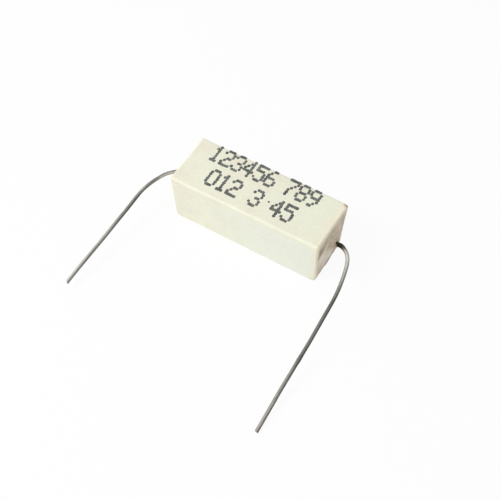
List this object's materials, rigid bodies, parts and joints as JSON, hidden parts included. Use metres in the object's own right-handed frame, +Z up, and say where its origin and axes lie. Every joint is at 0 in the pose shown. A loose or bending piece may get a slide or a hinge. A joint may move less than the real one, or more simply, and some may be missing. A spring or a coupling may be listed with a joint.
{
  "type": "axial resistor",
  "caption": "Square ceramic-cased power resistor with a wirewound element in cement and two bent axial wire leads.",
  "frame": {"origin": "centre of the body's underside, in the plane of the case's rim, which rests on a board or table", "axes": "+X along the body to the right end as printed, +Y across it away from the bent leads, +Z up from the rim to the printed closed top"},
  "size_m": [0.0349, 0.0326, 0.0091],
  "materials": {
    "case_ceramic": "matte ivory fired ceramic",
    "cement": "rough pinkish-grey cement",
    "core_ceramic": "matte white ceramic",
    "resistance_alloy": "dull grey-brown alloy wire",
    "cap_steel": "plated pressed steel",
    "tinned_wire": "dull tinned copper wire, dark at its root"
  },
  "bodies": {
    "root": {"ceramic_case": "case_ceramic", "cement_fill": "cement", "core_rod": "core_ceramic", "resistance_winding": "resistance_alloy", "end_cap_left": "cap_steel", "end_cap_right": "cap_steel", "lead_left": "tinned_wire", "lead_right": "tinned_wire"}
  },
  "joints": []
}
